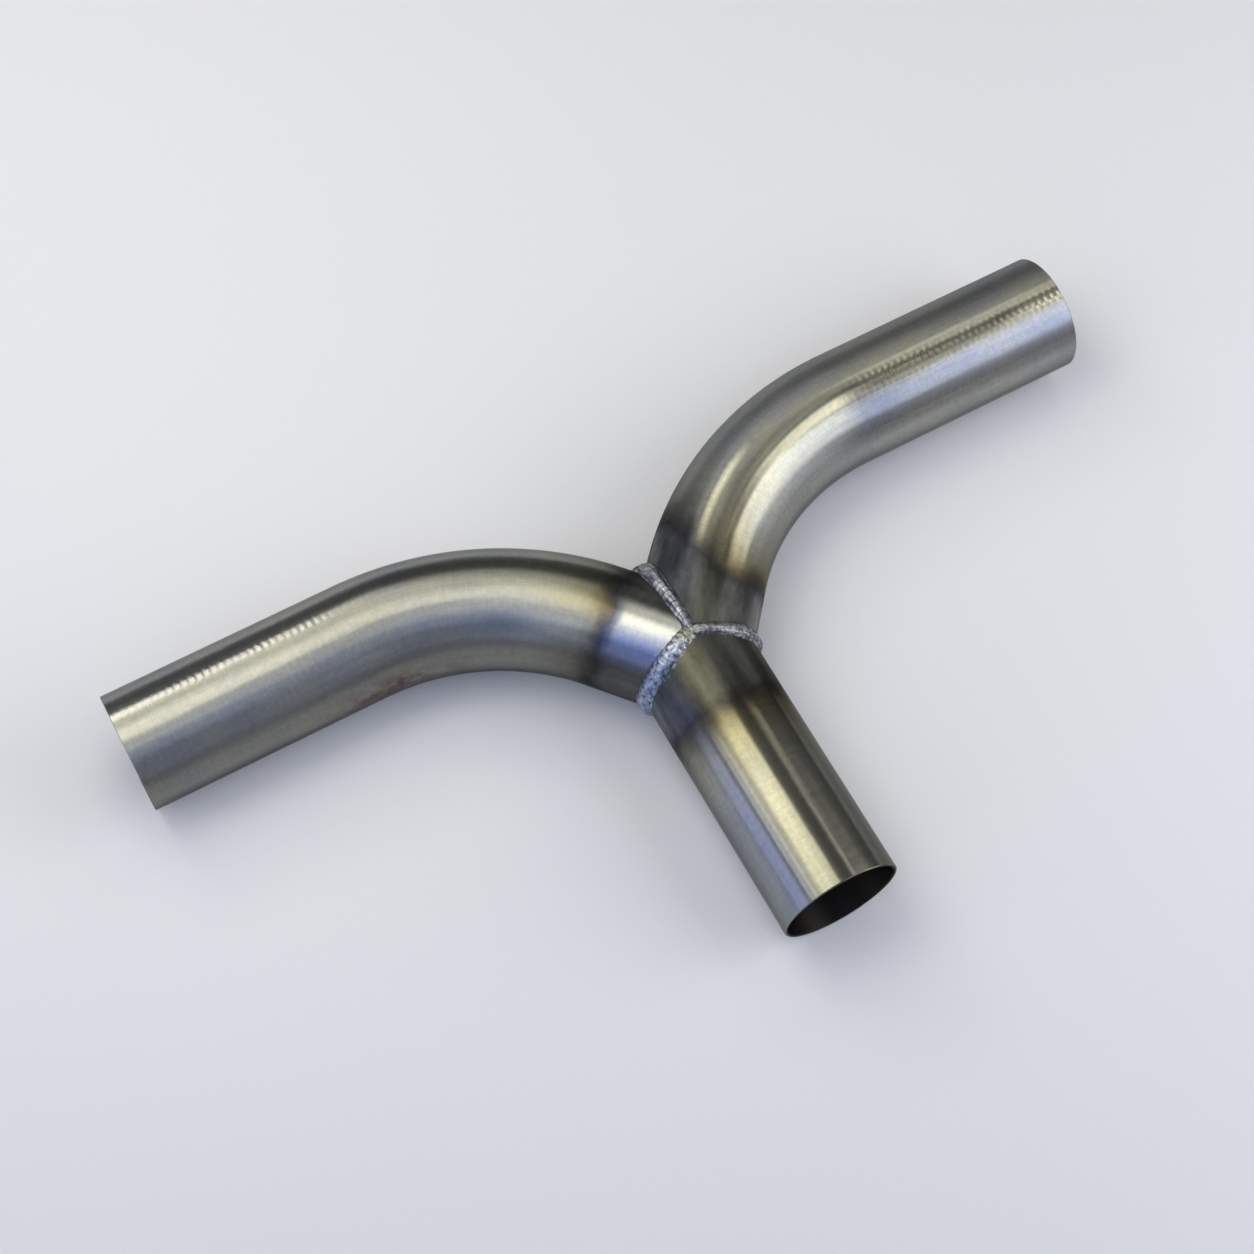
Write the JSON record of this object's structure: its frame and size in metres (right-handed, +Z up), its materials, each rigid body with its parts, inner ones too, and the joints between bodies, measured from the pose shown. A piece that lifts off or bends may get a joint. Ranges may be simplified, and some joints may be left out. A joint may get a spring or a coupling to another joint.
{
  "type": "pipe tee",
  "caption": "Pipe tee welded from round steel tubes: a straight outlet splits into swept branches that bend round until their ends point opposite ways.",
  "frame": {"origin": "centre of the outlet's mouth", "axes": "-Y out of the outlet along its centreline, +X towards the right end, +Z up, square to the plane of the three centrelines"},
  "size_m": [0.4376, 0.2162, 0.0538],
  "materials": {
    "tube_steel": "drawn and brushed, unpainted, with heat tint near the welds",
    "weld_metal": "hand-laid bead, as welded"
  },
  "bodies": {
    "root": {"left_branch_tube": "tube_steel", "right_branch_tube": "tube_steel", "outlet_tube": "tube_steel", "crotch_weld": "weld_metal", "left_weld": "weld_metal", "right_weld": "weld_metal"}
  },
  "joints": []
}
